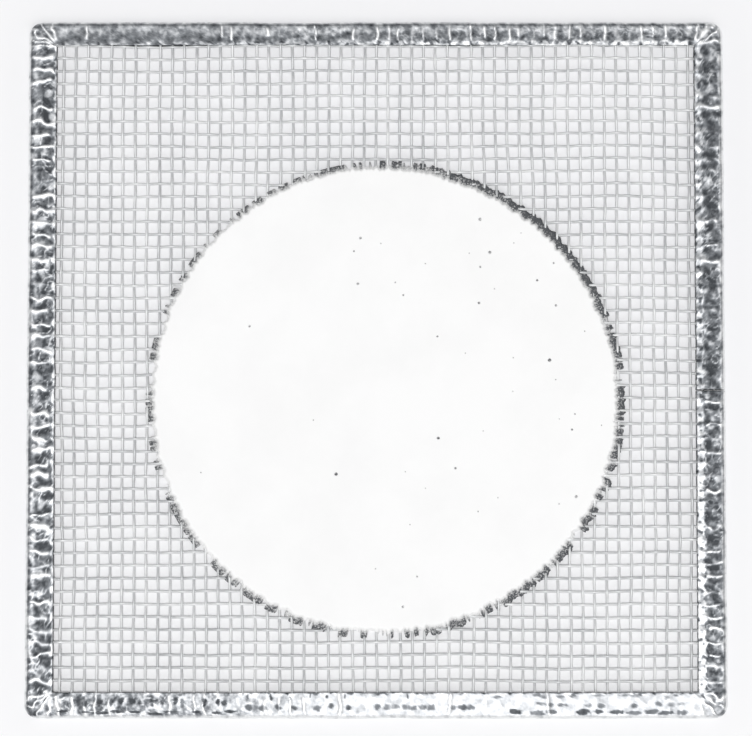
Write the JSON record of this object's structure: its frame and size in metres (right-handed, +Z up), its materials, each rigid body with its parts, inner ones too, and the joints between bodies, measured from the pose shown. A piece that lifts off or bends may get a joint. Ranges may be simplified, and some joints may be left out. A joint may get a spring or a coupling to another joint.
{
  "type": "wire gauze",
  "caption": "Square woven wire gauze with folded metal edges and a round ceramic centre, laid over a burner to spread heat under a flask or beaker.",
  "frame": {"origin": "under the middle of the square, on the surface it lies on", "axes": "+Z up, square to the mesh; the warp wires run along Y and the weft wires along X"},
  "size_m": [0.125, 0.125, 0.0022],
  "materials": {
    "galvanised_wire": "galvanised, bright, drawn",
    "ceramic": "matt white, fired, unglazed",
    "zinc_strip": "thin galvanised sheet, pressed and crinkled"
  },
  "bodies": {
    "root": {"warp_wires_odd": "galvanised_wire", "warp_wires_even": "galvanised_wire", "weft_wires_odd": "galvanised_wire", "weft_wires_even": "galvanised_wire", "ceramic_centre": "ceramic", "edge_strip": "zinc_strip"}
  },
  "joints": []
}
